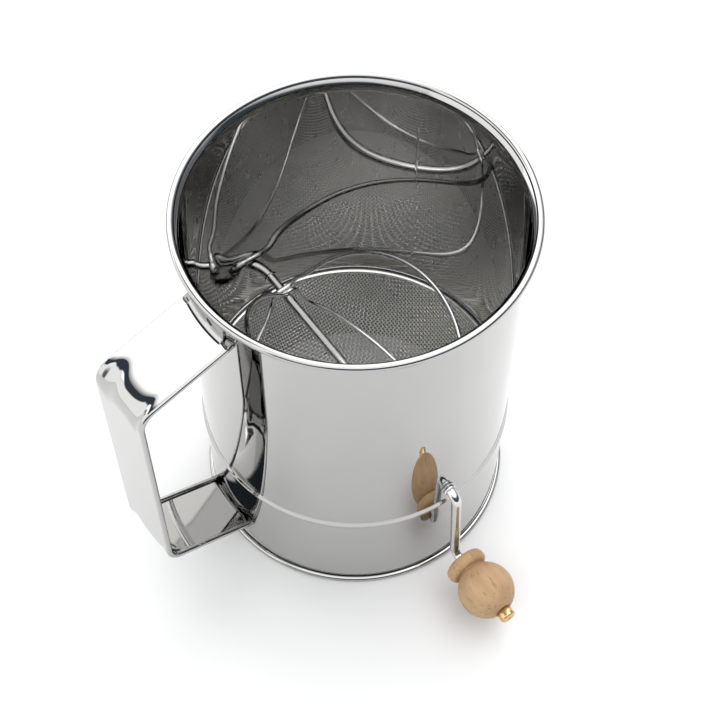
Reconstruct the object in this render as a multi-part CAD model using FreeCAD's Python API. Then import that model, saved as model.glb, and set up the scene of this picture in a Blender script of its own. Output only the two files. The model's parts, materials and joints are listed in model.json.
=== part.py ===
import FreeCAD, Part
import math
import os

# Hand-crank flour sifter: a straight-sided sheet-steel can with a woven sieve
# bowl clipped inside it, a bent crank rod that carries two wire agitator
# loops over the sieve, a strap handle and a turned wooden crank knob.
#
# Frame: +Z up, origin on the table below the middle of the whole sifter,
# crank and handle included. The shaft runs along Y and leaves the can on the
# -Y side; the handle points along -X. Millimetres throughout. Every piece is
# drawn about the can's own axis and moved to the frame when it is exported.

AXIS_X = 18.03             # where the can's axis stands in the frame
AXIS_Y = 19.59

# --- can ---------------------------------------------------------------
CAN_OUTER_R = 61.4
SHEET = 0.5
RIM_CURL_R = 63.6          # centre circle of the rolled top rim
RIM_CURL_Z = 164.8
RIM_TUBE_R = 1.4
RIM_WIRE_R = 0.85
FLARE_Z = 159.5            # the wall starts to lean out to the rim here
FLARE_BOW = 0.25           # share of that lean reached halfway up
BASE_CURL_R = 61.6         # centre circle of the rolled foot
BASE_CURL_Z = 1.3
BASE_TUBE_R = 1.35
BASE_WIRE_R = 0.8
BEAD_Z = 48.7              # raised bead pressed outwards round the can
BEAD_CREST_R = 62.8
BEAD_HALF_HEIGHT = 2.0

# --- sieve -------------------------------------------------------------
HOOP_R = 60.8              # snap hoop that sits in the groove of the bead
HOOP_TUBE_R = 1.3
BOWL_EDGE_R = 59.1
BOWL_EDGE_Z = 48.9
BOWL_BOTTOM_Z = 4.4
BOWL_THICK = 0.5

# --- shaft, crank and agitator -------------------------------------------
SHAFT_Z = 58.5
ROD_R = 2.0
RUNNING_GAP = 0.05
SHAFT_REAR_Y = 65.4        # rear tip of the rod, outside the rear wall
CRANK_TOP_Y = -67.0        # where the shaft turns down into the crank arm
CRANK_FOOT_Y = -69.6       # the arm leans outwards a little
PIN_Z = 16.5
PIN_SHOULDER_Y = -101.2
PIN_TIP_Y = -104.2
THREAD_R = 1.8
CRANK_BEND_R = 4.0
LOOP_WIRE_R = 1.0
LOOP_HALF_LENGTH = 50.0    # loops meet the shaft this far from mid-can
LOOP_A_ARMS = ((44.0, 50.8), (215.0, 51.2))     # (angle, reach) of each bow
LOOP_B_ARMS = ((137.0, 52.0), (315.0, 43.5))
LOOP_STAGGER = 1.05        # the two wires lie side by side over the shaft
BOW_STEP = 15              # degrees between the points that shape a bow
HUB_RISING = ((2.7, 0.5), (5.0, 2.1))           # (aside, up) from the crossing
HUB_FALLING = ((2.6, -0.3), (4.5, -2.0), (5.6, -4.8))

# --- shaft bearings ------------------------------------------------------
EYELET_BARREL_R = 2.45
EYELET_FLANGE_R = 3.2
EYELET_SHEET = 0.4
EYELET_SEAT = 0.1          # the flat inner flange stands off the curved wall
WALL_HOLE_R = 2.5
COLLAR_R = 3.0
COLLAR_LENGTH = 1.4
END_CAP_R = 3.6
END_CAP_WALL = 0.6
END_CAP_ROUND = 1.2
AXIAL_GAP = 0.15

# --- knob ----------------------------------------------------------------
KNOB_BALL_Y = -90.4
KNOB_BALL_R = 11.3
KNOB_COLLAR_R = 8.6
KNOB_COLLAR_NEAR_Y = -74.7
KNOB_COLLAR_FAR_Y = -80.0
KNOB_NECK_R = 5.2
KNOB_NECK_COVE = 0.6       # the neck widens by this much where it joins the ball
KNOB_EDGE_ROUND = 2.2
KNOB_FLAT_Y = -101.1
NUT_R = 3.2
NUT_END_Y = -105.2
NUT_CHAMFER = 0.5

# --- handle --------------------------------------------------------------
STRAP_WIDTH = 28.0
STRAP_SHEET = 0.7
HEM_R = 1.5                # rolled edges of the strap
HEM_SWEEP = 290.0          # how far round each edge is rolled, in degrees
STRAP_REACH = 100.4        # outer face of the grip from the can's axis
STRAP_TOP_Z = 151.0        # where the upper arm meets the wall
STRAP_BOTTOM_Z = 19.4
STRAP_TOP_SLOPE = 14.2     # the upper arm drops towards the grip, in degrees
STRAP_BOTTOM_SLOPE = 23.5  # the lower arm climbs towards it
STRAP_BEND_R = 9.0
STRAP_SKEW = 3.3           # the strap is welded on slightly askew, in degrees
ARM_OVERRUN = 8.0          # the arms run this far inside the wall before trimming
TAB_WIDTH = 20.0           # welding tabs between the rolled edges
TAB_HEIGHT = 8.0
WELD_R = 1.6
WELD_OFFSET = 2.4          # weld centre above or below the arm
WELD_SUNK = 0.25           # how far each nugget lies below the tab's face
CONTACT_GAP = 0.02         # keeps faces that touch from sharing volume
PAST_FACE = 5.0            # cutting tools run this far past the face they cut

V = FreeCAD.Vector
Z_AXIS = V(0, 0, 1)
ORIGIN = V(0, 0, 0)
CAN_INNER_R = CAN_OUTER_R - SHEET
WELD_HEIGHTS = (STRAP_TOP_Z + WELD_OFFSET, STRAP_BOTTOM_Z - WELD_OFFSET)


def rz(radius, height):
    """Point of a turned profile, in the XZ plane."""
    return V(radius, 0, height)


def line(start, end):
    return Part.makeLine(start, end)


def arc(start, middle, end):
    return Part.Arc(start, middle, end).toShape()


def face_of(edges):
    return Part.Face(Part.Wire(edges))


def ring_face(radius, height, outer, inner):
    """Annular section of a rolled edge."""
    centre = rz(radius, height)
    y_axis = V(0, 1, 0)
    disc = face_of([Part.makeCircle(outer, centre, y_axis)])
    hole = face_of([Part.makeCircle(inner, centre, y_axis)])
    return disc.cut(hole)


def turned(face):
    return face.revolve(ORIGIN, Z_AXIS, 360)


def hoop_of(radius, height, tube):
    return Part.makeTorus(radius, tube, V(0, 0, height))


def y_cylinder(radius, start_y, end_y, height=SHAFT_Z):
    """Round bar along Y from start_y to end_y (end_y is the lower one)."""
    return Part.makeCylinder(radius, start_y - end_y, V(0, start_y, height), V(0, -1, 0))


def rims_at(shape, y):
    """Edges of a turned shape that lie flat in the plane at y."""
    box_of = [(edge, edge.BoundBox) for edge in shape.Edges]
    return [edge for edge, box in box_of
            if abs(box.YMin - y) < CONTACT_GAP and abs(box.YMax - y) < CONTACT_GAP]


def wall_profile():
    """Section of the can wall with its bead and its flare below the rim."""
    inner = CAN_INNER_R
    outer = CAN_OUTER_R
    crest_in = BEAD_CREST_R - SHEET
    bead_in = BEAD_HALF_HEIGHT - SHEET / 2
    rim_in = RIM_CURL_R - RIM_TUBE_R
    top_z = RIM_CURL_Z
    mid_z = (FLARE_Z + top_z) / 2
    foot_z = BASE_CURL_Z + BASE_TUBE_R - SHEET / 2
    flare_bow = FLARE_BOW * (rim_in - inner)
    edges = [
        line(rz(inner, foot_z), rz(inner, BEAD_Z - bead_in)),
        arc(rz(inner, BEAD_Z - bead_in), rz(crest_in, BEAD_Z), rz(inner, BEAD_Z + bead_in)),
        line(rz(inner, BEAD_Z + bead_in), rz(inner, FLARE_Z)),
        arc(rz(inner, FLARE_Z), rz(inner + flare_bow, mid_z), rz(rim_in, top_z)),
        line(rz(rim_in, top_z), rz(rim_in + SHEET, top_z)),
        arc(rz(rim_in + SHEET, top_z), rz(outer + flare_bow, mid_z), rz(outer, FLARE_Z)),
        line(rz(outer, FLARE_Z), rz(outer, BEAD_Z + BEAD_HALF_HEIGHT)),
        arc(rz(outer, BEAD_Z + BEAD_HALF_HEIGHT), rz(BEAD_CREST_R, BEAD_Z),
            rz(outer, BEAD_Z - BEAD_HALF_HEIGHT)),
        line(rz(outer, BEAD_Z - BEAD_HALF_HEIGHT), rz(outer, foot_z)),
        line(rz(outer, foot_z), rz(inner, foot_z)),
    ]
    return face_of(edges)


def can_body():
    rim_curl = ring_face(RIM_CURL_R, RIM_CURL_Z, RIM_TUBE_R, RIM_TUBE_R - SHEET)
    base_curl = ring_face(BASE_CURL_R, BASE_CURL_Z, BASE_TUBE_R, BASE_TUBE_R - SHEET)
    body = turned(wall_profile()).fuse([turned(rim_curl), turned(base_curl)])
    below_table = Part.makeCylinder(2 * CAN_OUTER_R, PAST_FACE, V(0, 0, -PAST_FACE))
    shaft_holes = y_cylinder(WALL_HOLE_R, CAN_OUTER_R + PAST_FACE, -CAN_OUTER_R - PAST_FACE)
    return body.cut([below_table, shaft_holes]).removeSplitter()


def rim_wire():
    return hoop_of(RIM_CURL_R, RIM_CURL_Z, RIM_WIRE_R)


def base_wire():
    return hoop_of(BASE_CURL_R, BASE_CURL_Z, BASE_WIRE_R)


def sieve_hoop():
    return hoop_of(HOOP_R, BEAD_Z, HOOP_TUBE_R)


def sieve_bowl():
    """Dished sieve: a zone of a thin sphere from its edge to its lowest point."""
    depth = BOWL_EDGE_Z - BOWL_BOTTOM_Z
    sphere_r = (BOWL_EDGE_R ** 2 + depth ** 2) / (2 * depth)
    centre_z = BOWL_BOTTOM_Z + sphere_r
    edge_angle = math.atan2(BOWL_EDGE_Z - centre_z, BOWL_EDGE_R)
    mid_angle = (edge_angle - math.pi / 2) / 2

    def on_sphere(radius, angle):
        return rz(radius * math.cos(angle), centre_z + radius * math.sin(angle))

    outer = sphere_r + BOWL_THICK / 2
    inner = sphere_r - BOWL_THICK / 2
    edges = [
        arc(on_sphere(outer, edge_angle), on_sphere(outer, mid_angle), rz(0, centre_z - outer)),
        line(rz(0, centre_z - outer), rz(0, centre_z - inner)),
        arc(rz(0, centre_z - inner), on_sphere(inner, mid_angle), on_sphere(inner, edge_angle)),
        line(on_sphere(inner, edge_angle), on_sphere(outer, edge_angle)),
    ]
    return turned(face_of(edges))


def rounded_path(corners, bend_r):
    """Straight runs joined by arcs of radius bend_r at the inner corners."""
    edges = []
    last = corners[0]
    for here, ahead in zip(corners[1:-1], corners[2:]):
        back_dir = (last - here).normalize()
        ahead_dir = (ahead - here).normalize()
        half_angle = back_dir.getAngle(ahead_dir) / 2
        tangent = bend_r / math.tan(half_angle)
        arc_start = here + back_dir * tangent
        arc_end = here + ahead_dir * tangent
        bisector = (back_dir + ahead_dir).normalize()
        arc_middle = here + bisector * (bend_r / math.sin(half_angle) - bend_r)
        edges.append(line(last, arc_start))
        edges.append(arc(arc_start, arc_middle, arc_end))
        last = arc_end
    edges.append(line(last, corners[-1]))
    return Part.Wire(edges)


def crank_rod():
    corners = [
        V(0, SHAFT_REAR_Y, SHAFT_Z),
        V(0, CRANK_TOP_Y, SHAFT_Z),
        V(0, CRANK_FOOT_Y, PIN_Z),
        V(0, PIN_SHOULDER_Y, PIN_Z),
    ]
    path = rounded_path(corners, CRANK_BEND_R)
    section = Part.Wire([Part.makeCircle(ROD_R, corners[0], V(0, 1, 0))])
    rod = path.makePipeShell([section], True, False)
    thread = y_cylinder(THREAD_R, PIN_SHOULDER_Y, PIN_TIP_Y, PIN_Z)
    return rod.fuse(thread).removeSplitter()


def bow_points(angle, reach):
    """Points along one bow of an agitator loop, from one hub to the other.

    The bow is half an ellipse whose long axis is the shaft.
    """
    across = V(math.cos(math.radians(angle)), 0, math.sin(math.radians(angle)))
    points = []
    for turn in range(BOW_STEP, 180, BOW_STEP):
        along = LOOP_HALF_LENGTH * math.cos(math.radians(turn))
        out = reach * math.sin(math.radians(turn))
        points.append(V(0, along, SHAFT_Z) + across * out)
    return points


def hub_points(hub_y, side_from, from_rises, to_rises):
    """Points where a loop passes over the top of the shaft at hub_y.

    side_from is +1 when the wire arrives from the +X side. A wire that rises
    leaves the shaft upwards; one that falls wraps down round its side.
    """
    ride = ROD_R + LOOP_WIRE_R + CONTACT_GAP
    points = []
    for x, z in reversed(HUB_RISING if from_rises else HUB_FALLING):
        points.append(V(side_from * x, hub_y, SHAFT_Z + ride + z))
    points.append(V(0, hub_y, SHAFT_Z + ride))
    for x, z in HUB_RISING if to_rises else HUB_FALLING:
        points.append(V(-side_from * x, hub_y, SHAFT_Z + ride + z))
    return points


def loop_points(arms, stagger):
    """Points round a whole loop: two bows joined by two crossings of the shaft."""
    (angle_1, reach_1), (angle_2, reach_2) = arms
    side = 1 if math.cos(math.radians(angle_1)) > 0 else -1
    rises_1 = math.sin(math.radians(angle_1)) > 0
    rises_2 = math.sin(math.radians(angle_2)) > 0
    hub_y = LOOP_HALF_LENGTH + stagger
    points = bow_points(angle_1, reach_1)
    points += hub_points(-hub_y, side, rises_1, rises_2)
    points += reversed(bow_points(angle_2, reach_2))
    points += hub_points(hub_y, -side, rises_2, rises_1)
    return points


def tangent_at(before, here, after):
    """Direction at the middle one of three points of a smooth curve."""
    arriving = here - before
    leaving = after - here
    return (arriving / arriving.Length ** 2 + leaving / leaving.Length ** 2).normalize()


def tangent_arc(start, direction, end):
    """Arc that leaves start along direction and ends at end, and its end direction."""
    chord = end - start
    chord_dir = chord / chord.Length
    half_turn = direction.getAngle(chord_dir)
    bulge_dir = (direction - chord_dir * direction.dot(chord_dir)).normalize()
    bulge = chord.Length / 2 * math.tan(half_turn / 2)
    edge = arc(start, (start + end) / 2 + bulge_dir * bulge, end)
    end_direction = chord_dir * (2 * direction.dot(chord_dir)) - direction
    return edge, end_direction


def twin_arcs(start, start_dir, end, end_dir):
    """Two arcs that join two points and keep the given directions there."""
    chord = end - start
    along = chord.dot(start_dir + end_dir)
    spread = 2 * (1 - start_dir.dot(end_dir))
    reach = (math.sqrt(along ** 2 + spread * chord.dot(chord)) - along) / spread
    meeting = (start + end + (start_dir - end_dir) * reach) / 2
    first, middle_dir = tangent_arc(start, start_dir, meeting)
    second, _ = tangent_arc(meeting, middle_dir, end)
    return [first, second]


def agitator_loop(arms, stagger):
    """Closed loop of round wire, bent as a chain of tangent arcs."""
    points = loop_points(arms, stagger)
    count = len(points)
    tangents = [tangent_at(points[i - 1], points[i], points[(i + 1) % count]) for i in range(count)]
    edges = []
    for i in range(count):
        ahead = (i + 1) % count
        edges += twin_arcs(points[i], tangents[i], points[ahead], tangents[ahead])
    section = Part.Wire([Part.makeCircle(LOOP_WIRE_R, points[0], tangents[0])])
    skin = Part.Wire(edges).makePipeShell([section], False, False)
    return Part.makeSolid(Part.makeShell(skin.Faces))


def eyelet(side):
    """Flanged bush clinched through the wall; side is +1 rear, -1 front."""
    outer_face = CAN_OUTER_R + CONTACT_GAP / 2
    inner_face = CAN_INNER_R - EYELET_SEAT
    barrel_start = outer_face + EYELET_SHEET
    barrel_end = inner_face - EYELET_SHEET
    bush = Part.makeCylinder(EYELET_BARREL_R, barrel_start - barrel_end,
                             V(0, side * barrel_start, SHAFT_Z), V(0, -side, 0))
    outer_flange = Part.makeCylinder(EYELET_FLANGE_R, EYELET_SHEET,
                                     V(0, side * barrel_start, SHAFT_Z), V(0, -side, 0))
    inner_flange = Part.makeCylinder(EYELET_FLANGE_R, EYELET_SHEET,
                                     V(0, side * inner_face, SHAFT_Z), V(0, -side, 0))
    bore = y_cylinder(ROD_R + RUNNING_GAP, CAN_OUTER_R + PAST_FACE, -CAN_OUTER_R - PAST_FACE)
    return bush.fuse([outer_flange, inner_flange]).cut(bore).removeSplitter()


def front_stop_collar():
    """Ring pressed on the shaft just outside the front bearing."""
    start = -(CAN_OUTER_R + EYELET_SHEET + AXIAL_GAP)
    end = start - COLLAR_LENGTH
    ring = y_cylinder(COLLAR_R, start, end)
    return ring.cut(y_cylinder(ROD_R + CONTACT_GAP / 2, start + PAST_FACE, end - PAST_FACE))


def rear_end_cap():
    """Push-on cap over the rear tip of the shaft."""
    mouth = CAN_OUTER_R + EYELET_SHEET + AXIAL_GAP
    crown = SHAFT_REAR_Y + CONTACT_GAP + END_CAP_WALL
    cap = y_cylinder(END_CAP_R, crown, mouth)
    rounded = cap.makeFillet(END_CAP_ROUND, rims_at(cap, crown))
    socket = y_cylinder(ROD_R + CONTACT_GAP / 2, SHAFT_REAR_Y + CONTACT_GAP, mouth - PAST_FACE)
    return rounded.cut(socket)


def knob():
    """Turned wooden knob: a round-edged collar, a short neck and a ball."""
    bore = ROD_R + RUNNING_GAP
    near = KNOB_COLLAR_NEAR_Y
    far = KNOB_COLLAR_FAR_Y
    soft = KNOB_EDGE_ROUND
    shrink = soft * (1 - math.sqrt(0.5))
    neck_y = far - KNOB_NECK_COVE
    join_r = KNOB_NECK_R + KNOB_NECK_COVE
    join_y = KNOB_BALL_Y + math.sqrt(KNOB_BALL_R ** 2 - join_r ** 2)
    end_r = math.sqrt(KNOB_BALL_R ** 2 - (KNOB_FLAT_Y - KNOB_BALL_Y) ** 2)

    def at(radius, y):
        return V(0, y, PIN_Z + radius)

    edges = [
        line(at(bore, near), at(KNOB_COLLAR_R - soft, near)),
        arc(at(KNOB_COLLAR_R - soft, near), at(KNOB_COLLAR_R - shrink, near - shrink),
            at(KNOB_COLLAR_R, near - soft)),
        line(at(KNOB_COLLAR_R, near - soft), at(KNOB_COLLAR_R, far + soft)),
        arc(at(KNOB_COLLAR_R, far + soft), at(KNOB_COLLAR_R - shrink, far + shrink),
            at(KNOB_COLLAR_R - soft, far)),
        line(at(KNOB_COLLAR_R - soft, far), at(KNOB_NECK_R, neck_y)),
        line(at(KNOB_NECK_R, neck_y), at(join_r, join_y)),
        arc(at(join_r, join_y), at(KNOB_BALL_R, KNOB_BALL_Y), at(end_r, KNOB_FLAT_Y)),
        line(at(end_r, KNOB_FLAT_Y), at(bore, KNOB_FLAT_Y)),
        line(at(bore, KNOB_FLAT_Y), at(bore, near)),
    ]
    return face_of(edges).revolve(V(0, 0, PIN_Z), V(0, 1, 0), 360)


def knob_nut():
    """Blind brass nut on the threaded tip of the crank pin."""
    seat = KNOB_FLAT_Y - AXIAL_GAP
    nut = y_cylinder(NUT_R, seat, NUT_END_Y, PIN_Z)
    bevelled = nut.makeChamfer(NUT_CHAMFER, rims_at(nut, NUT_END_Y))
    socket = y_cylinder(THREAD_R + CONTACT_GAP / 2, seat + PAST_FACE, PIN_TIP_Y - CONTACT_GAP, PIN_Z)
    return bevelled.cut(socket)


def strap_section(origin, across, inward):
    """Outline of the strap: a flat web with both long edges rolled inwards."""
    hem_inner = HEM_R - STRAP_SHEET
    centre = STRAP_WIDTH / 2 - HEM_R

    def at(width, depth):
        return origin + across * width + inward * depth

    def on_hem(side, radius, swept):
        angle = math.radians(90 - swept)
        return at(side * (centre + radius * math.cos(angle)), HEM_R - radius * math.sin(angle))

    half = HEM_SWEEP / 2
    edges = [
        line(at(-centre, 0), at(centre, 0)),
        arc(on_hem(1, HEM_R, 0), on_hem(1, HEM_R, half), on_hem(1, HEM_R, HEM_SWEEP)),
        line(on_hem(1, HEM_R, HEM_SWEEP), on_hem(1, hem_inner, HEM_SWEEP)),
        arc(on_hem(1, hem_inner, HEM_SWEEP), on_hem(1, hem_inner, half), on_hem(1, hem_inner, 0)),
        line(at(centre, STRAP_SHEET), at(-centre, STRAP_SHEET)),
        arc(on_hem(-1, hem_inner, 0), on_hem(-1, hem_inner, half), on_hem(-1, hem_inner, HEM_SWEEP)),
        line(on_hem(-1, hem_inner, HEM_SWEEP), on_hem(-1, HEM_R, HEM_SWEEP)),
        arc(on_hem(-1, HEM_R, HEM_SWEEP), on_hem(-1, HEM_R, half), on_hem(-1, HEM_R, 0)),
    ]
    return Part.Wire(edges)


def wall_tab(low_z, high_z):
    """Welding tab that follows the can wall, between two heights."""
    inner = CAN_OUTER_R + CONTACT_GAP
    ring = Part.makeCylinder(inner + STRAP_SHEET, high_z - low_z, V(0, 0, low_z))
    ring = ring.cut(Part.makeCylinder(inner, high_z - low_z, V(0, 0, low_z)))
    block = Part.makeBox(2 * CAN_OUTER_R, TAB_WIDTH, high_z - low_z,
                         V(-2 * CAN_OUTER_R, -TAB_WIDTH / 2, low_z))
    return ring.common(block)


def weld_cylinder(radius, height):
    """Bar square to the wall at the middle of a tab, through tab and wall."""
    start = V(-CAN_OUTER_R - PAST_FACE, 0, height)
    return Part.makeCylinder(radius, 2 * PAST_FACE, start, V(1, 0, 0))


def strap_path():
    """Outer face of the strap in the XZ plane, from arm root to arm root.

    The ends run on past the wall, so that both arms can be trimmed to it.
    """
    inside_x = -CAN_OUTER_R + ARM_OVERRUN
    run = STRAP_REACH + inside_x
    reach = STRAP_REACH - CAN_OUTER_R
    top_slope = math.tan(math.radians(STRAP_TOP_SLOPE))
    bottom_slope = math.tan(math.radians(STRAP_BOTTOM_SLOPE))
    grip_top = STRAP_TOP_Z - top_slope * reach
    grip_bottom = STRAP_BOTTOM_Z + bottom_slope * reach
    return [
        V(inside_x, 0, grip_top + top_slope * run),
        V(-STRAP_REACH, 0, grip_top),
        V(-STRAP_REACH, 0, grip_bottom),
        V(inside_x, 0, grip_bottom - bottom_slope * run),
    ]


def handle_strap():
    corners = strap_path()
    along = (corners[1] - corners[0]).normalize()
    across = V(0, 1, 0)
    section = strap_section(corners[0], across, along.cross(across))
    strap = rounded_path(corners, STRAP_BEND_R).makePipeShell([section], True, False)
    strap.rotate(V(-CAN_OUTER_R, 0, 0), Z_AXIS, STRAP_SKEW)
    strap = strap.cut(Part.makeCylinder(CAN_OUTER_R + CONTACT_GAP, RIM_CURL_Z))
    top_tab = wall_tab(STRAP_TOP_Z - STRAP_SHEET, STRAP_TOP_Z + TAB_HEIGHT)
    bottom_tab = wall_tab(STRAP_BOTTOM_Z - TAB_HEIGHT, STRAP_BOTTOM_Z + STRAP_SHEET)
    strap = strap.fuse([top_tab, bottom_tab])
    return strap.cut([weld_cylinder(WELD_R, height) for height in WELD_HEIGHTS])


def handle_spot_welds():
    """One sunken weld nugget in each tab."""
    inner = CAN_OUTER_R + CONTACT_GAP
    shell = Part.makeCylinder(inner + STRAP_SHEET - WELD_SUNK, RIM_CURL_Z)
    shell = shell.cut(Part.makeCylinder(inner, RIM_CURL_Z))
    nugget_r = WELD_R - CONTACT_GAP
    return Part.makeCompound([weld_cylinder(nugget_r, height).common(shell) for height in WELD_HEIGHTS])


def export(node, shape):
    assert shape.isValid(), node
    shape.translate(V(AXIS_X, AXIS_Y, 0))
    shape.exportStep("parts/" + node + ".step")


os.makedirs("parts", exist_ok=True)
export("can_body", can_body())
export("rim_wire", rim_wire())
export("base_wire", base_wire())
export("sieve_hoop", sieve_hoop())
export("sieve_bowl", sieve_bowl())
export("front_eyelet", eyelet(-1))
export("rear_eyelet", eyelet(1))
export("handle_strap", handle_strap())
export("handle_spot_welds", handle_spot_welds())
export("crank_rod", crank_rod())
export("agitator_loop_a", agitator_loop(LOOP_A_ARMS, LOOP_STAGGER))
export("agitator_loop_b", agitator_loop(LOOP_B_ARMS, -LOOP_STAGGER))
export("front_stop_collar", front_stop_collar())
export("rear_end_cap", rear_end_cap())
export("knob", knob())
export("knob_nut", knob_nut())
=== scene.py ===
import json
import math

import bpy
from mathutils import Matrix, Vector


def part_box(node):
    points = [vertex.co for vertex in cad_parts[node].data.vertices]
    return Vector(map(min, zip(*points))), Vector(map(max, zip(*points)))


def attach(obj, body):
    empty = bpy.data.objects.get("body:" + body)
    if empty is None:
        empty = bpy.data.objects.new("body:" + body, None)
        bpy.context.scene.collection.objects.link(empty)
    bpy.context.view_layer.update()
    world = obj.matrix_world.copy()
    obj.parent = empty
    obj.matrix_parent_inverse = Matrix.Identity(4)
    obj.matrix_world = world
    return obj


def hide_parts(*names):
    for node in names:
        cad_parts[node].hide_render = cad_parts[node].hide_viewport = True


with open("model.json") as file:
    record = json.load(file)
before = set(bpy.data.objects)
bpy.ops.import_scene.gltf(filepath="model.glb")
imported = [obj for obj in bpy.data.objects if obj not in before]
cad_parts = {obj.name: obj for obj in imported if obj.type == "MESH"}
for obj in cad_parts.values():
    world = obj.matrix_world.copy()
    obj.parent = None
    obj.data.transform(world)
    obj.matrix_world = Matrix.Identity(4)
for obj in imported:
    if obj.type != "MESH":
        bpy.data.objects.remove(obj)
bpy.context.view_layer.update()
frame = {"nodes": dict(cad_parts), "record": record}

# A hand-crank flour sifter on a white table. Metres, +Z up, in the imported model's frame. Every piece is
# drawn about the can's own axis, with the shaft along Y and the handle towards -X, and then moved to
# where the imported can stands. Sections are (radius, height) pairs unless a function says otherwise.

MM = 0.001
CAN_LOW, CAN_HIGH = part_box("can_body")
CAN_AXIS = Vector(((CAN_LOW.x + CAN_HIGH.x) / 2, (CAN_LOW.y + CAN_HIGH.y) / 2, 0))

# Can wall. A span is a start and an end angle on a roll, in degrees; steps set how fine a mesh is.
SHEET = 0.5 * MM                  # thickness of the can's sheet steel
CAN_R = 61.15 * MM                # mid-sheet radius of the wall
RIM_CURL = (63.6 * MM, 164.8 * MM)     # centre (radius, height) of the rolled rim
RIM_CURL_R = 1.15 * MM            # mid-sheet radius of the roll
RIM_CURL_SPAN = (180.0, -150.0)
RIM_CURL_STEPS = 44
FLARE_Z = 163.4 * MM              # the wall starts to lean out to the rim here
FLARE_BOW = 1.12                  # 1 leans out straight, more leans out late
FLARE_STEPS = 12
FOOT_CURL = (61.6 * MM, 1.3 * MM)
FOOT_CURL_R = 1.1 * MM
FOOT_CURL_SPAN = (455.0, 158.0)
FOOT_CURL_STEPS = 40
FOOT_Z = 4.6 * MM                 # the wall starts to draw in to the rolled foot here
FOOT_STEPS = 10
BEAD_Z = 48.7 * MM
BEAD_HALF = 2.3 * MM              # half height of the bead
BEAD_RISE = 0.8 * MM
BEAD_STEPS = 40
BELOW_BEAD_STEPS = 10
ABOVE_BEAD_STEPS = 5
UPPER_WALL_STEPS = 24
WALL_COLUMNS = 360
SEAM_ANGLE = math.radians(31.8)
SEAM_HALF_WIDTH = 0.45 * MM
SEAM_DEPTH = 0.03 * MM
SEAM_STEPS = 4                    # columns of mesh in half the seam
SEAM_SIDE = 6                     # finer columns on each side of its middle
EYELET_HOLE_R = 2.3 * MM
HOLE_MARGIN = 3.2 * MM            # the wall's mesh is finer this far round each shaft hole
HOLE_STEP = 0.2 * MM
HOLE_ANGLES = (math.pi / 2, math.pi * 3 / 2)
COLUMN_CLEARANCE = 0.006          # even columns keep this angle from the finer ones, in radians

# Sieve
HOOP_R = 60.1 * MM
HOOP_WIRE_R = 1.25 * MM
HOOP_STEPS = 360
BOWL_EDGE_R = 59.1 * MM           # the cloth's sphere passes through this radius and height
BOWL_EDGE_Z = 48.9 * MM
BOWL_BOTTOM_Z = 4.4 * MM
BOWL_DEPTH = BOWL_EDGE_Z - BOWL_BOTTOM_Z
BOWL_SPHERE_R = (BOWL_EDGE_R ** 2 + BOWL_DEPTH ** 2) / (2 * BOWL_DEPTH)
BOWL_TURN = math.radians(69)      # the cloth leaves the sphere here, towards the hoop
BOWL_LIP = 5.2 * MM               # length of cloth from there to its end in the hoop
LIP_BOW = 0.55                    # share of the lip that runs on before it turns
LIP_END = 0.4                     # the cloth ends this share of the hoop wire's radius inside it
CLOTH_PITCH = 1.42 * MM
CLOTH_WIRE_R = 0.205 * MM
CLOTH_WEAVE = 1.05                # how far a wire swings over and under, in wire radii

# Shaft, crank and agitator
SHAFT_Z = 58.5 * MM
ROD_R = 2.0 * MM
ROD_STEP = 3.0 * MM               # longest step of the rod's mesh
SHAFT_REAR_Y = 65.4 * MM
CRANK_TOP_Y = -67.0 * MM
CRANK_FOOT_Y = -69.6 * MM
PIN_Z = 16.5 * MM
PIN_TIP_Y = -104.2 * MM
CRANK_BEND_R = 4.0 * MM
CRANK_BEND_STEPS = 20
LOOP_WIRE_R = 1.0 * MM
LOOP_HALF_LENGTH = 50.0 * MM
LOOP_STAGGER = 1.05 * MM
LOOP_STEPS = 8                    # steps between two guide points of a loop
LOOP_A_ARMS = ((44.0, 50.8 * MM), (215.0, 51.2 * MM))      # (angle, reach) of each bow
LOOP_B_ARMS = ((137.0, 52.0 * MM), (315.0, 43.5 * MM))
HUB_GAP = 0.02 * MM               # keeps a loop's mesh out of the rod's
HUB_RIDE = ROD_R + LOOP_WIRE_R + HUB_GAP
HUB_RISING = ((2.7 * MM, 0.5 * MM), (5.0 * MM, 2.1 * MM))  # (aside, up) from a crossing
HUB_FALLING = ((2.6 * MM, -0.3 * MM), (4.5 * MM, -2.0 * MM), (5.6 * MM, -4.8 * MM))
BOW_STEP = 15                     # degrees between a bow's guide points

# Handle. Slopes, sweep and skew are in degrees.
STRAP_WIDTH = 28.0 * MM
STRAP_SHEET = 0.7 * MM
HEM_R = 1.1 * MM                  # outer radius of a rolled edge
HEM_SWEEP = 290.0
HEM_STEPS = 22
WEB_STEPS = 32
STRAP_REACH = 100.4 * MM
STRAP_WALL_R = 61.42 * MM
STRAP_TOP_Z = 151.0 * MM
STRAP_BOTTOM_Z = 19.4 * MM
STRAP_TOP_SLOPE = 14.2
STRAP_BOTTOM_SLOPE = 23.5
STRAP_SKEW = 3.3
STRAP_BEND_R = 9.0 * MM
STRAP_BEND_STEPS = 20
ARM_STEPS = 14
GRIP_STEPS = 30
BEND_SWELLS = (                   # the web's bends are wider here: (across, spread, added radius)
    (7.6 * MM, 4.2 * MM, 5.4 * MM),
    (-12.0 * MM, 4.0 * MM, 5.5 * MM),
)
BEND_FADE = 3.5 * MM              # the swelling fades out over this distance from a rolled edge
TAB_WIDTH = 20.0 * MM
TAB_HEIGHT = 10.0 * MM
TAB_SHEET = STRAP_SHEET * 0.9
TAB_BEND_R = 3.0 * MM
TAB_CORNER_R = 2.5 * MM
TAB_COLUMNS = 49
TAB_BEND_STEPS = 10
TAB_STEPS = 24
WELD_OFFSET = 2.2 * MM            # from the arm's root up or down the tab
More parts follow.
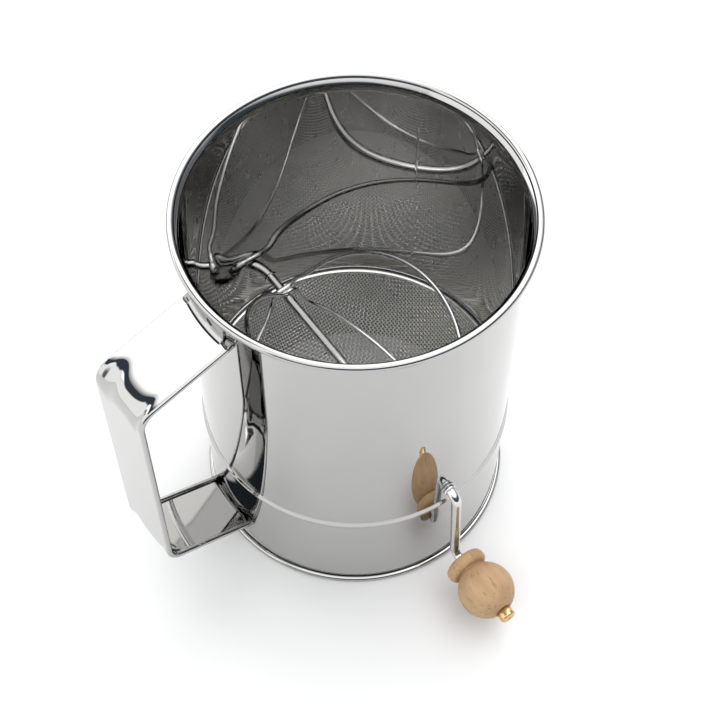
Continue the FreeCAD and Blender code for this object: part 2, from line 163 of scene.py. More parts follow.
WELD_ASIDE = -2.2 * MM            # the welds sit a little to the crank's side
WELD_R = 1.5 * MM
WELD_DENT = 0.16 * MM             # how far the sheet is pressed in round a weld
WELD_DENT_FLAT = 0.75             # the dent is full out to this share of the weld's radius
WELD_DENT_SLOPE = 0.7             # and fades out over this share
WELD_STEPS = 40
WELD_SECTION = (                  # (share of the weld's radius, height over the sheet's middle)
    (0.0, -0.25 * MM), (1.0, -0.25 * MM), (1.0, 0.27 * MM), (0.9, 0.33 * MM),
    (0.7, 0.33 * MM), (0.35, 0.26 * MM), (0.0, 0.24 * MM),
)

# Small turned parts
TURNED_STEPS = 72
RUNNING_GAP = 0.05 * MM           # between the rod and a bore it turns in
PRESS_FIT = 0.02 * MM             # a part fixed on the rod is this much tighter
AXIAL_GAP = 0.15 * MM
EYELET_BARREL_R = 2.45 * MM
EYELET_FLANGE_R = 2.9 * MM
EYELET_SHEET = 0.4 * MM
EYELET_INNER_GAP = 0.1 * MM       # between the wall's inside and the inner flange
EYELET_BEVEL = 0.14 * MM
COLLAR_R = 2.6 * MM
COLLAR_LENGTH = 1.4 * MM
COLLAR_BEVEL = 0.3 * MM
MAX_BEVEL = 0.45                  # largest share of an edge that a bevel takes
END_CAP_R = 3.6 * MM
END_CAP_WALL = 0.6 * MM
END_CAP_ROUND = 1.2 * MM
END_CAP_ROUND_STEPS = 10
END_CAP_BEVEL = 0.15 * MM
FRONT_SHAFT_AXIS = Matrix.Translation((0, 0, SHAFT_Z)) @ Matrix.Rotation(math.pi / 2, 4, "X")
REAR_SHAFT_AXIS = Matrix.Translation((0, 0, SHAFT_Z)) @ Matrix.Rotation(-math.pi / 2, 4, "X")

# Knob and nut. Places are along the pin's axis, which points to -Y.
PIN_AXIS = Matrix.Translation((0, 0, PIN_Z)) @ Matrix.Rotation(math.pi / 2, 4, "X")
KNOB_STEPS = 160
KNOB_BALL = 90.4 * MM
KNOB_BALL_R = 11.3 * MM
KNOB_BALL_STEPS = 60
KNOB_COLLAR_R = 8.6 * MM
KNOB_COLLAR_NEAR = 74.7 * MM
KNOB_COLLAR_FAR = 80.0 * MM
KNOB_COLLAR_ROUND = 2.2 * MM
KNOB_COLLAR_STEPS = 10
KNOB_NECK_R = 5.2 * MM
KNOB_NECK_JOIN = 0.6 * MM         # the ball starts this far outside the neck
KNOB_NECK_GROOVE = 0.9 * MM       # radius of the groove at the neck
KNOB_NECK_SPAN = (210, 150)
KNOB_NECK_STEPS = 6
KNOB_FLAT = 101.1 * MM
NUT_R = 3.2 * MM
NUT_END = 105.2 * MM
NUT_ROUND = 0.9 * MM
NUT_ROUND_STEPS = 12
NUT_BEVEL = 0.2 * MM

# Points round each kind of wire
ROD_RING = 32
HOOP_RING = 20
LOOP_RING = 20
CLOTH_RING = 5


# --- mesh building -----------------------------------------------------------

def new_piece(name, verts, faces, body, slot, *replaced):
    """Makes one smooth-shaded piece that rides on body and stands for the replaced CAD nodes."""
    mesh = bpy.data.meshes.new(name)
    mesh.from_pydata([tuple(v + CAN_AXIS) for v in verts], [], faces)
    mesh.validate()
    mesh.update()
    mesh.shade_smooth()
    piece = bpy.data.objects.new(name, mesh)
    bpy.context.scene.collection.objects.link(piece)
    piece.data.materials.append(MATERIALS[slot])
    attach(piece, body)
    if replaced:
        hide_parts(*replaced)


def grid_faces(rows, columns, first=0):
    """Quads of a grid that closes on itself both ways; first is the number of its first vertex."""
    faces = []
    for i in range(rows):
        for j in range(columns):
            ahead = (i + 1) % rows
            beside = (j + 1) % columns
            faces.append((first + i * columns + j, first + ahead * columns + j,
                          first + ahead * columns + beside, first + i * columns + beside))
    return faces


def turned_piece(name, outline, segments, axis, body, slot, *replaced):
    """Turns a closed outline of (radius, along) points about axis, a matrix whose Z is the axis."""
    verts = []
    for i in range(segments):
        turn = 2 * math.pi * i / segments
        verts += [axis @ Vector((r * math.cos(turn), r * math.sin(turn), z)) for r, z in outline]
    faces = grid_faces(segments, len(outline))
    new_piece(name, verts, faces, body, slot, *replaced)


def arc_2d(centre, radius, start, end, steps):
    """Points of an arc in a section, with angles in degrees."""
    points = []
    for i in range(steps + 1):
        angle = math.radians(start + (end - start) * i / steps)
        points.append((centre[0] + radius * math.cos(angle), centre[1] + radius * math.sin(angle)))
    return points


def smooth_step(t):
    """0 below 0, 1 above 1 and a soft slope between."""
    t = max(0.0, min(1.0, t))
    return t * t * t * (t * (6 * t - 15) + 10)


def offset_strip(path, thickness):
    """Closed outline of a sheet whose mid line is path."""
    left, right = [], []
    for i, here in enumerate(path):
        before = path[max(i - 1, 0)]
        after = path[min(i + 1, len(path) - 1)]
        along = (after[0] - before[0], after[1] - before[1])
        length = math.hypot(*along)
        normal = (-along[1] / length * thickness / 2, along[0] / length * thickness / 2)
        left.append((here[0] + normal[0], here[1] + normal[1]))
        right.append((here[0] - normal[0], here[1] - normal[1]))
    return left + right[::-1]


def curve_frames(points, closed):
    """Direction and two cross directions at each point of a 3-D path, without twist."""
    count = len(points)
    directions = []
    for i in range(count):
        after = points[(i + 1) % count] if closed or i < count - 1 else points[i]
        before = points[i - 1] if closed or i > 0 else points[i]
        directions.append((after - before).normalized())
    side = directions[0].orthogonal().normalized()
    sides = []
    for direction in directions:
        side = (side - direction * side.dot(direction)).normalized()
        sides.append(side)
    if closed:
        last = (side - directions[0] * side.dot(directions[0])).normalized()
        twist = math.atan2(sides[0].cross(last).dot(directions[0]), sides[0].dot(last))
        for i, direction in enumerate(directions):
            sides[i] = Matrix.Rotation(-twist * i / count, 3, direction) @ sides[i]
    return [(d, s, d.cross(s)) for d, s in zip(directions, sides)]


def wire_mesh(points, radius, closed, ring, first=0):
    """Vertices and faces of a round wire along points; open ends are closed by flat faces."""
    frames = curve_frames(points, closed)
    verts, faces = [], []
    for point, (_, across, up) in zip(points, frames):
        for j in range(ring):
            turn = 2 * math.pi * j / ring
            verts.append(point + (across * math.cos(turn) + up * math.sin(turn)) * radius)
    rows = len(points) if closed else len(points) - 1
    for i in range(rows):
        ahead = (i + 1) % len(points)
        for j in range(ring):
            beside = (j + 1) % ring
            faces.append((first + i * ring + j, first + i * ring + beside,
                          first + ahead * ring + beside, first + ahead * ring + j))
    if not closed:
        faces.append(tuple(first + j for j in reversed(range(ring))))
        faces.append(tuple(first + (len(points) - 1) * ring + j for j in range(ring)))
    return verts, faces


def closed_curve(points, tangents, steps):
    """Smooth closed curve through points, leaving each along its tangent."""
    count = len(points)
    path = []
    for i in range(count):
        start, end = points[i], points[(i + 1) % count]
        length = (end - start).length
        go, come = tangents[i] * length, tangents[(i + 1) % count] * length
        for step in range(steps):
            t = step / steps
            path.append(start * (2 * t ** 3 - 3 * t ** 2 + 1) + go * (t ** 3 - 2 * t ** 2 + t)
                        + end * (3 * t ** 2 - 2 * t ** 3) + come * (t ** 3 - t ** 2))
    return path


def rounded_corners(corners, bend_r, steps):
    """Straight runs joined by arcs of radius bend_r, as a list of points."""
    path = [corners[0]]
    for before, here, after in zip(corners, corners[1:], corners[2:]):
        back = (before - here).normalized()
        ahead = (after - here).normalized()
        half = back.angle(ahead) / 2
        centre = here + (back + ahead).normalized() * (bend_r / math.sin(half))
        start = (here + back * (bend_r / math.tan(half)) - centre).normalized()
        end = (here + ahead * (bend_r / math.tan(half)) - centre).normalized()
        for i in range(steps + 1):
            path.append(centre + start.slerp(end, i / steps) * bend_r)
    path.append(corners[-1])
    return path


def refined(path, longest):
    """The same path with no step longer than the given length."""
    fine = []
    for start, end in zip(path, path[1:]):
        pieces = max(1, math.ceil((end - start).length / longest))
        fine += [start.lerp(end, i / pieces) for i in range(pieces)]
    return fine + [path[-1]]


# --- materials ---------------------------------------------------------------

# Looks of the metals. A noise is (scale, detail) or (scale, detail, stretch); tones and roughness are
# the two ends that it moves between; bump is (strength, depth in metres).
METAL_LOOKS = {
    # Mirror-polished sheet: faint haze, faint waviness and hair-fine rolling lines
    "polished_steel": dict(
        tones=((0.435, 0.433, 0.425, 1), (0.475, 0.473, 0.465, 1)), tone_noise=(28.0, 3),
        roughness=(0.015, 0.045), roughness_noise=(60.0, 5, (1, 1, 6)),
        bump=(0.05, 0.0006), bump_noise=(22.0, 1)),
    # Bright drawn wire, slightly hazy and finely pitted
    "wire_steel": dict(
        tones=((0.58, 0.58, 0.58, 1), (0.72, 0.72, 0.715, 1)), tone_noise=(180.0, 3),
        roughness=(0.07, 0.16), roughness_noise=(420.0, 4),
        bump=(0.08, 0.0001), bump_noise=(900.0, 2)),
    # Thin woven wire, duller than the rod
    "sieve_mesh": dict(
        tones=((0.84, 0.83, 0.80, 1), (0.95, 0.94, 0.91, 1)), tone_noise=(240.0, 2),
        roughness=(0.24, 0.36), roughness_noise=(90.0, 3)),
    # Weld nugget, darkened by heat and uneven
    "weld_steel": dict(
        tones=((0.025, 0.023, 0.02, 1), (0.10, 0.09, 0.08, 1)), tone_noise=(700.0, 4),
        roughness=(0.35, 0.6), roughness_noise=(900.0, 3),
        bump=(0.4, 0.0003), bump_noise=(800.0, 3)),
    # Bright turned brass
    "brass": dict(
        tones=((0.60, 0.40, 0.17, 1), (0.70, 0.52, 0.27, 1)), tone_noise=(300.0, 3),
        roughness=(0.16, 0.30), roughness_noise=(500.0, 3),
        bump=(0.1, 0.0001), bump_noise=(1200.0, 2)),
}
BEECH_TONES = ((0.52, 0.345, 0.192, 1), (0.43, 0.27, 0.14, 1))
BEECH_FLECK = (0.25, 0.138, 0.067, 1)


def feed(tree, socket, value):
    """Links a socket to another node's output, or sets the socket's own value."""
    if isinstance(value, bpy.types.NodeSocket):
        tree.links.new(value, socket)
    else:
        socket.default_value = value


def colour_mix(tree, kind, factor, first, second):
    """Output of a node that mixes two colours."""
    node = tree.nodes.new("ShaderNodeMix")
    node.data_type = "RGBA"
    node.blend_type = kind
    feed(tree, node.inputs[0], factor)
    colours = [socket for socket in node.inputs if socket.type == "RGBA"]
    feed(tree, colours[0], first)
    feed(tree, colours[1], second)
    return next(socket for socket in node.outputs if socket.type == "RGBA")


class Nodes:
    """Small helper that adds and links shader nodes in one material."""

    def __init__(self, name):
        self.material = bpy.data.materials.new(name)
        self.material.use_nodes = True
        self.tree = self.material.node_tree
        self.surface = next(n for n in self.tree.nodes if n.type == "BSDF_PRINCIPLED")

    def add(self, kind, **inputs):
        node = self.tree.nodes.new(kind)
        for key, value in inputs.items():
            self.put(node, key.replace("_", " "), value)
        return node

    def put(self, node, key, value):
        feed(self.tree, node.inputs[key], value)

    def place(self, stretch=(1, 1, 1)):
        """Object-space position, stretched."""
        coords = self.add("ShaderNodeTexCoord").outputs["Object"]
        mapping = self.add("ShaderNodeMapping", Vector=coords, Scale=stretch)
        return mapping.outputs["Vector"]

    def noise(self, scale, detail, stretch=(1, 1, 1), roughness=0.5):
        node = self.add("ShaderNodeTexNoise", Vector=self.place(stretch), Scale=scale,
                        Detail=detail, Roughness=roughness)
        return node.outputs["Fac"]

    def span(self, value, low, high, low_at=0.3, high_at=0.7):
        """Maps a 0..1 value to low..high."""
        node = self.add("ShaderNodeMapRange", Value=value)
        self.put(node, "From Min", low_at)
        self.put(node, "From Max", high_at)
        self.put(node, "To Min", low)
        self.put(node, "To Max", high)
        return node.outputs["Result"]

    def blend(self, factor, first, second):
        return colour_mix(self.tree, "MIX", factor, first, second)

    def bump(self, height, strength, distance):
        node = self.add("ShaderNodeBump", Height=height, Strength=strength, Distance=distance)
        self.put(self.surface, "Normal", node.outputs["Normal"])


def metal(name, tones, tone_noise, roughness, roughness_noise, bump=None, bump_noise=None):
    """Bare metal with a look from METAL_LOOKS."""
    n = Nodes(name)
    n.put(n.surface, "Metallic", 1.0)
    n.put(n.surface, "Base Color", n.blend(n.noise(*tone_noise), *tones))
    n.put(n.surface, "Roughness", n.span(n.noise(*roughness_noise), *roughness))
    if bump:
        n.bump(n.noise(*bump_noise), *bump)
    return n.material


def beech():
    """Fine-sanded beech: pale growth bands along the grain with short darker flecks."""
    n = Nodes("beech")
    grain = n.noise(scale=70.0, detail=4, stretch=(2.2, 0.25, 2.2), roughness=0.6)
    flecks = n.noise(scale=900.0, detail=2, stretch=(1.0, 0.16, 1.0))
    base = n.blend(n.span(grain, low=0.0, high=1.0, low_at=0.35, high_at=0.68), *BEECH_TONES)
    mottled = n.blend(n.span(flecks, low=0.0, high=0.6, low_at=0.58, high_at=0.74), base, BEECH_FLECK)
    n.put(n.surface, "Base Color", mottled)
    n.put(n.surface, "Roughness", n.span(grain, low=0.52, high=0.62))
    n.put(n.surface, "Specular IOR Level", 0.35)
    n.bump(flecks, strength=0.12, distance=0.0002)
    return n.material


MATERIALS = {name: metal(name, **look) for name, look in METAL_LOOKS.items()}
MATERIALS["beech"] = beech()


# --- can and sieve -----------------------------------------------------------

def wall_mid_line():
    """Mid line of the can's sheet from the end of the rolled foot to the end of the rolled rim."""

    def upright(low, high, steps):
        """The straight wall from low to the last step before high."""
        return [(CAN_R, low + (high - low) * i / steps) for i in range(steps)]

    path = arc_2d(FOOT_CURL, FOOT_CURL_R, *FOOT_CURL_SPAN, FOOT_CURL_STEPS)
    foot_r, foot_z = path[-1]
    for i in range(1, FOOT_STEPS):
        t = i / FOOT_STEPS
        path.append((foot_r + (CAN_R - foot_r) * smooth_step(t), foot_z + (FOOT_Z - foot_z) * t))
    path += upright(FOOT_Z, BEAD_Z - BEAD_HALF, BELOW_BEAD_STEPS)
    for i in range(BEAD_STEPS):
        t = 2 * i / BEAD_STEPS - 1
        rise = BEAD_RISE * (1 - abs(t)) ** 2 * (1 + 2 * abs(t))
        path.append((CAN_R + rise, BEAD_Z + BEAD_HALF * t))
    hole_low = SHAFT_Z - HOLE_MARGIN
    hole_high = SHAFT_Z + HOLE_MARGIN
    path += upright(BEAD_Z + BEAD_HALF, hole_low, ABOVE_BEAD_STEPS)
    path += upright(hole_low, hole_high, round(2 * HOLE_MARGIN / HOLE_STEP))
    path += upright(hole_high, FLARE_Z, UPPER_WALL_STEPS)
    rim_r = RIM_CURL[0] - RIM_CURL_R
    for i in range(FLARE_STEPS):
        t = i / FLARE_STEPS
        path.append((CAN_R + (rim_r - CAN_R) * t ** FLARE_BOW, FLARE_Z + (RIM_CURL[1] - FLARE_Z) * t))
    return path + arc_2d(RIM_CURL, RIM_CURL_R, *RIM_CURL_SPAN, RIM_CURL_STEPS)


def wall_angles():
    """Angles round the can: even steps, with finer ones at the side seam and the shaft holes."""
    seam_step = SEAM_HALF_WIDTH / CAN_R / SEAM_STEPS
    hole_step = HOLE_STEP / CAN_R
    hole_side = round(HOLE_MARGIN / HOLE_STEP)
    finer = [[SEAM_ANGLE + seam_step * i for i in range(-SEAM_SIDE, SEAM_SIDE + 1)]]
    finer += [[middle + hole_step * i for i in range(-hole_side, hole_side + 1)] for middle in HOLE_ANGLES]
    angles = [2 * math.pi * i / WALL_COLUMNS for i in range(WALL_COLUMNS)]
    for fine in finer:
        low, high = fine[0] - COLUMN_CLEARANCE, fine[-1] + COLUMN_CLEARANCE
        angles = [a for a in angles if a < low or a > high] + fine
    return sorted(angles)


def seam_dip(angle):
    """How far the sheet dips along the welded side seam."""
    aside = abs(angle - SEAM_ANGLE) * CAN_R / SEAM_HALF_WIDTH
    return SEAM_DEPTH * (1 - smooth_step(aside))


def can_wall():
    """The wall as one sheet, with the side seam and the two holes for the shaft's eyelets.

    Its mesh is a grid of columns round the can and rows along the sheet's outline. The cells inside a
    hole are left out on both sides of the sheet, and their border is joined through the sheet.
    """
    outline = [(r, max(z, 0.0)) for r, z in offset_strip(wall_mid_line(), SHEET)]
    angles = wall_angles()
    columns = len(outline)
    verts = []
    for angle in angles:
        dip = seam_dip(angle)
        verts += [Vector(((r - dip) * math.cos(angle), (r - dip) * math.sin(angle), z)) for r, z in outline]

    def corners(i, j):
        """The four vertices of a cell."""
        ahead = (i + 1) % len(angles)
        beside = (j + 1) % columns
        return (i * columns + j, ahead * columns + j, ahead * columns + beside, i * columns + beside)

    def in_hole(i, j):
        middle = sum((verts[k] for k in corners(i, j)), Vector()) / 4
        return math.hypot(middle.x, middle.z - SHAFT_Z) < EYELET_HOLE_R

    def twin(j):
        """The cell on the sheet's other side."""
        return (columns - 2 - j) % columns

    faces = []
    for i in range(len(angles)):
        for j in range(columns):
            if not in_hole(i, j):
                faces.append(corners(i, j))
            elif j < columns // 2:
                near = corners(i, j)
                far = corners(i, twin(j))
                across = (far[3], far[2], far[1], far[0])
                neighbours = ((i, j - 1), ((i + 1) % len(angles), j), (i, j + 1), (i - 1, j))
                for side, (ni, nj) in enumerate(neighbours):
                    if not in_hole(ni % len(angles), nj):
                        a, b = near[side], near[(side + 1) % 4]
                        c, d = across[(side + 1) % 4], across[side]
                        faces.append((a, b, c, d))
    new_piece("can_wall", verts, faces, "can", "polished_steel", "can_body")


def sieve_ring():
    """The wire hoop that holds the cloth in the groove behind the bead."""
    points = []
    for i in range(HOOP_STEPS):
        turn = 2 * math.pi * i / HOOP_STEPS
        points.append(Vector((HOOP_R * math.cos(turn), HOOP_R * math.sin(turn), BEAD_Z)))
    verts, faces = wire_mesh(points, HOOP_WIRE_R, True, HOOP_RING)
    new_piece("sieve_ring", verts, faces, "can", "wire_steel", "sieve_hoop")


def bowl_section(reach):
    """(radius, height, lean) of the sieve at a distance from its lowest point, along the cloth.

    It is a sphere's zone up to BOWL_TURN and then turns outwards to be gripped by the hoop.
    """

    def on_sphere(angle):
        rise = BOWL_SPHERE_R * (1 - math.cos(angle))
        return BOWL_SPHERE_R * math.sin(angle), BOWL_BOTTOM_Z + rise

    angle = reach / BOWL_SPHERE_R
    if angle <= BOWL_TURN:
        return (*on_sphere(angle), angle)
    start = Vector(on_sphere(BOWL_TURN))
    middle = start + Vector((math.cos(BOWL_TURN), math.sin(BOWL_TURN))) * BOWL_LIP * LIP_BOW
    end = Vector((HOOP_R - HOOP_WIRE_R * LIP_END, BEAD_Z))
    t = min(1.0, (reach - BOWL_TURN * BOWL_SPHERE_R) / BOWL_LIP)
    spot = start * (1 - t) ** 2 + middle * 2 * t * (1 - t) + end * t ** 2
    along = (middle - start) * (1 - t) + (end - middle) * t
    return spot.x, spot.y, math.atan2(along.y, along.x)


def on_bowl(u, v, lift):
    """Point of the sieve for a point (u, v) of the flat cloth it was pressed from, lifted off it."""
    reach = max(math.hypot(u, v), 1e-9)
    radius, height, lean = bowl_section(reach)
    out = radius - lift * math.sin(lean)
    return Vector((out * u / reach, out * v / reach, height + lift * math.cos(lean)))


def cloth_wires(along_u):
    """One set of parallel wires of the cloth, each passing over and under the other set."""
    edge = BOWL_TURN * BOWL_SPHERE_R + BOWL_LIP
    half = int(edge / CLOTH_PITCH)
    verts, faces = [], []
    for i in range(-half, half + 1):
        offset = (i + 0.5) * CLOTH_PITCH
        if abs(offset) > edge - CLOTH_PITCH:
            continue
        reach = math.sqrt(edge ** 2 - offset ** 2)
        count = int(2 * reach / CLOTH_PITCH) * 2
        first_crossing = math.pi * (i if along_u else i + 1)
        points = []
        for k in range(count + 1):
            t = -reach + 2 * reach * k / count
            phase = math.pi * (t / CLOTH_PITCH - 0.5) + first_crossing
            lift = CLOTH_WIRE_R * CLOTH_WEAVE * math.cos(phase)
            points.append(on_bowl(t, offset, lift) if along_u else on_bowl(offset, t, lift))
        more_verts, more_faces = wire_mesh(points, CLOTH_WIRE_R, False, CLOTH_RING, len(verts))
        verts += more_verts
        faces += more_faces
    return verts, faces


def sieve_cloth():
    """The woven cloth, one piece for each direction of its wires."""
    for name, along_u in (("sieve_warp", True), ("sieve_weft", False)):
        verts, faces = cloth_wires(along_u)
        new_piece(name, verts, faces, "can", "sieve_mesh", "sieve_bowl")


# --- shaft, crank and agitator -------------------------------------------------

def crank_wire():
    """Shaft, crank arm and knob pin, bent from one rod."""
    corners = [Vector((0, SHAFT_REAR_Y, SHAFT_Z)), Vector((0, CRANK_TOP_Y, SHAFT_Z)),
               Vector((0, CRANK_FOOT_Y, PIN_Z)), Vector((0, PIN_TIP_Y, PIN_Z))]
    path = refined(rounded_corners(corners, CRANK_BEND_R, CRANK_BEND_STEPS), ROD_STEP)
    verts, faces = wire_mesh(path, ROD_R, False, ROD_RING)
    new_piece("crank_wire", verts, faces, "crank", "wire_steel", "crank_rod")


def bow_points(angle, reach):
    """Points along one bow of an agitator loop, half an ellipse from one hub to the other."""
    across = Vector((math.cos(math.radians(angle)), 0, math.sin(math.radians(angle))))
    points = []
    for turn in range(BOW_STEP, 180, BOW_STEP):
        along = LOOP_HALF_LENGTH * math.cos(math.radians(turn))
        points.append(Vector((0, along, SHAFT_Z)) + across * reach * math.sin(math.radians(turn)))
    return points


def hub_points(hub_y, side_from, from_rises, to_rises):
    """Points where a loop passes over the top of the shaft, starting on side_from (1 or -1).

    Each end leads to a bow that either rises from the crossing or falls away beside the shaft.
    """
    points = []
    for x, z in reversed(HUB_RISING if from_rises else HUB_FALLING):
        points.append(Vector((side_from * x, hub_y, SHAFT_Z + HUB_RIDE + z)))
    points.append(Vector((0, hub_y, SHAFT_Z + HUB_RIDE)))
    for x, z in HUB_RISING if to_rises else HUB_FALLING:
        points.append(Vector((-side_from * x, hub_y, SHAFT_Z + HUB_RIDE + z)))
    return points


def agitator_loop(name, arms, stagger, node):
    """Closed wire loop of two bows that crosses over the shaft near both walls."""
    (angle_1, reach_1), (angle_2, reach_2) = arms
    side = 1 if math.cos(math.radians(angle_1)) > 0 else -1
    rises_1 = math.sin(math.radians(angle_1)) > 0
    rises_2 = math.sin(math.radians(angle_2)) > 0
    hub_y = LOOP_HALF_LENGTH + stagger
    points = bow_points(angle_1, reach_1)
    points += hub_points(-hub_y, side, rises_1, rises_2)
    points += reversed(bow_points(angle_2, reach_2))
    points += hub_points(hub_y, -side, rises_2, rises_1)
    tangents = []
    for before, here, after in zip(points[-1:] + points, points, points[1:] + points[:1]):
        arriving, leaving = here - before, after - here
        tangent = arriving / arriving.length_squared + leaving / leaving.length_squared
        tangents.append(tangent.normalized())
    verts, faces = wire_mesh(closed_curve(points, tangents, LOOP_STEPS), LOOP_WIRE_R, True, LOOP_RING)
    new_piece(name, verts, faces, "crank", "wire_steel", node)


# --- eyelets, collar, end cap, knob and nut --------------------------------------

def bevelled(corners, bevel):
    """Closed outline through corners (radius, along), each corner cut back by a small bevel."""
    outline = []
    for before, here, after in zip(corners[-1:] + corners, corners, corners[1:] + corners[:1]):
        for other in (before, after):
            run = (other[0] - here[0], other[1] - here[1])
            share = min(bevel / math.hypot(*run), MAX_BEVEL)
            outline.append((here[0] + run[0] * share, here[1] + run[1] * share))
    return outline


def eyelet(name, axis, node):
    """Bush clinched through the wall, with a flange on each side of the sheet."""
    bore = ROD_R + RUNNING_GAP
    outside = CAN_R + SHEET / 2
    inside = CAN_R - SHEET / 2 - EYELET_INNER_GAP
    corners = [(bore, inside - EYELET_SHEET), (EYELET_FLANGE_R, inside - EYELET_SHEET),
               (EYELET_FLANGE_R, inside), (EYELET_BARREL_R, inside), (EYELET_BARREL_R, outside),
               (EYELET_FLANGE_R, outside), (EYELET_FLANGE_R, outside + EYELET_SHEET),
               (bore, outside + EYELET_SHEET)]
    outline = bevelled(corners, EYELET_BEVEL)
    turned_piece(name, outline, TURNED_STEPS, axis, "can", "wire_steel", node)


def stop_ring():
    """Collar on the shaft just outside the front eyelet."""
    near = CAN_R + SHEET / 2 + EYELET_SHEET + AXIAL_GAP
    far = near + COLLAR_LENGTH
    bore = ROD_R - PRESS_FIT
    outline = bevelled([(bore, near), (COLLAR_R, near), (COLLAR_R, far), (bore, far)], COLLAR_BEVEL)
    turned_piece("stop_ring", outline, TURNED_STEPS, FRONT_SHAFT_AXIS, "crank", "wire_steel",
                 "front_stop_collar")


def shaft_cap():
    """Push-on cap over the rear tip of the shaft, open towards the wall."""
    mouth = CAN_R + SHEET / 2 + EYELET_SHEET + AXIAL_GAP
    crown = SHAFT_REAR_Y + END_CAP_WALL
    round_centre = (END_CAP_R - END_CAP_ROUND, crown - END_CAP_ROUND)
    socket = ROD_R - PRESS_FIT
    outline = [(0, SHAFT_REAR_Y - END_CAP_WALL), (socket, SHAFT_REAR_Y - END_CAP_WALL), (socket, mouth)]
    outline += [(END_CAP_R - END_CAP_BEVEL, mouth), (END_CAP_R, mouth + END_CAP_BEVEL)]
    outline += arc_2d(round_centre, END_CAP_ROUND, 0, 90, END_CAP_ROUND_STEPS)
    outline += [(0, crown)]
    turned_piece("shaft_cap", outline, TURNED_STEPS, REAR_SHAFT_AXIS, "crank", "wire_steel", "rear_end_cap")


def wooden_knob():
    """A rounded collar, a narrow neck and a ball with a flat end, bored for the pin."""
    bore = ROD_R + RUNNING_GAP
    soft = KNOB_COLLAR_ROUND
    start = math.degrees(math.asin((KNOB_NECK_R + KNOB_NECK_JOIN) / KNOB_BALL_R))
    end = 180 - math.degrees(math.acos((KNOB_FLAT - KNOB_BALL) / KNOB_BALL_R))
    groove = (KNOB_NECK_R + KNOB_NECK_GROOVE, KNOB_COLLAR_FAR + KNOB_NECK_GROOVE / 2)
    outline = [(bore, KNOB_COLLAR_NEAR)]
    outline += arc_2d((KNOB_COLLAR_R - soft, KNOB_COLLAR_NEAR + soft), soft, -90, 0, KNOB_COLLAR_STEPS)
    outline += arc_2d((KNOB_COLLAR_R - soft, KNOB_COLLAR_FAR - soft), soft, 0, 90, KNOB_COLLAR_STEPS)
    outline += arc_2d(groove, KNOB_NECK_GROOVE, *KNOB_NECK_SPAN, KNOB_NECK_STEPS)
    outline += arc_2d((0, KNOB_BALL), KNOB_BALL_R, start - 90, end - 90, KNOB_BALL_STEPS)
    outline.append((bore, KNOB_FLAT))
    turned_piece("wooden_knob", outline, KNOB_STEPS, PIN_AXIS, "knob", "beech", "knob")


def brass_nut():
    """Round nut with a domed end, screwed on the pin's tip."""
    seat = KNOB_FLAT + AXIAL_GAP
    outline = [(0, seat), (NUT_R - NUT_BEVEL, seat), (NUT_R, seat + NUT_BEVEL)]
    outline += arc_2d((NUT_R - NUT_ROUND, NUT_END - NUT_ROUND), NUT_ROUND, 0, 90, NUT_ROUND_STEPS)
    outline += [(0, NUT_END)]
    turned_piece("brass_nut", outline, TURNED_STEPS, PIN_AXIS, "crank", "brass", "knob_nut")


# --- handle ------------------------------------------------------------------------

def strap_corner_points():
    """Corners of the strap's outer line, from the wall at the top to the wall at the bottom."""
    reach = STRAP_REACH - STRAP_WALL_R
    top_slope = math.tan(math.radians(STRAP_TOP_SLOPE))
    bottom_slope = math.tan(math.radians(STRAP_BOTTOM_SLOPE))
    return [
        Vector((-STRAP_WALL_R, 0, STRAP_TOP_Z)),
        Vector((-STRAP_REACH, 0, STRAP_TOP_Z - top_slope * reach)),
        Vector((-STRAP_REACH, 0, STRAP_BOTTOM_Z + bottom_slope * reach)),
        Vector((-STRAP_WALL_R, 0, STRAP_BOTTOM_Z)),
    ]


def strap_section():
    """Closed section of the strap as (across, depth): a flat web with both edges rolled inwards."""
    hem_inner = HEM_R - STRAP_SHEET
    centre = STRAP_WIDTH / 2 - HEM_R
    right, right_span = (centre, HEM_R), (-90, -90 + HEM_SWEEP)
    left, left_span = (-centre, HEM_R), (270 - HEM_SWEEP, 270)
    web = [-centre + 2 * centre * i / WEB_STEPS for i in range(1, WEB_STEPS)]
    section = arc_2d(right, HEM_R, *right_span, HEM_STEPS)
    section += arc_2d(right, hem_inner, *reversed(right_span), HEM_STEPS)
    section += [(across, STRAP_SHEET) for across in reversed(web)]
    section += arc_2d(left, hem_inner, *reversed(left_span), HEM_STEPS)
    section += arc_2d(left, HEM_R, *left_span, HEM_STEPS)
    return section + [(across, 0) for across in web]


def web_bend_r(across):
    """Radius of the strap's bends at a place across it: the rolled edges hold it tighter."""
    swell = sum(more * math.exp(-((across - place) / spread) ** 2) for place, spread, more in BEND_SWELLS)
    edge = STRAP_WIDTH / 2 - HEM_R
    return STRAP_BEND_R + swell * smooth_step((edge - abs(across)) / BEND_FADE)


def strap_path(bend_r):
    """Outer line of the strap, with the same number of points for every bend radius."""
    rough = rounded_corners(strap_corner_points(), bend_r, STRAP_BEND_STEPS)
    runs = {0: ARM_STEPS, STRAP_BEND_STEPS + 1: GRIP_STEPS, 2 * STRAP_BEND_STEPS + 2: ARM_STEPS}
    path = []
    for i, (start, end) in enumerate(zip(rough, rough[1:])):
        pieces = runs.get(i, 1)
        path += [start.lerp(end, k / pieces) for k in range(pieces)]
    return path + [rough[-1]]


def slide_to_wall(spot, direction):
    """Moves spot along direction until it meets the can's round wall."""
    a = direction.x ** 2 + direction.y ** 2
    b = spot.x * direction.x + spot.y * direction.y
    c = spot.x ** 2 + spot.y ** 2 - STRAP_WALL_R ** 2
    root = math.sqrt(max(b * b - a * c, 0.0))
    travel = min(((-b - root) / a, (-b + root) / a), key=abs)
    return spot + direction * travel


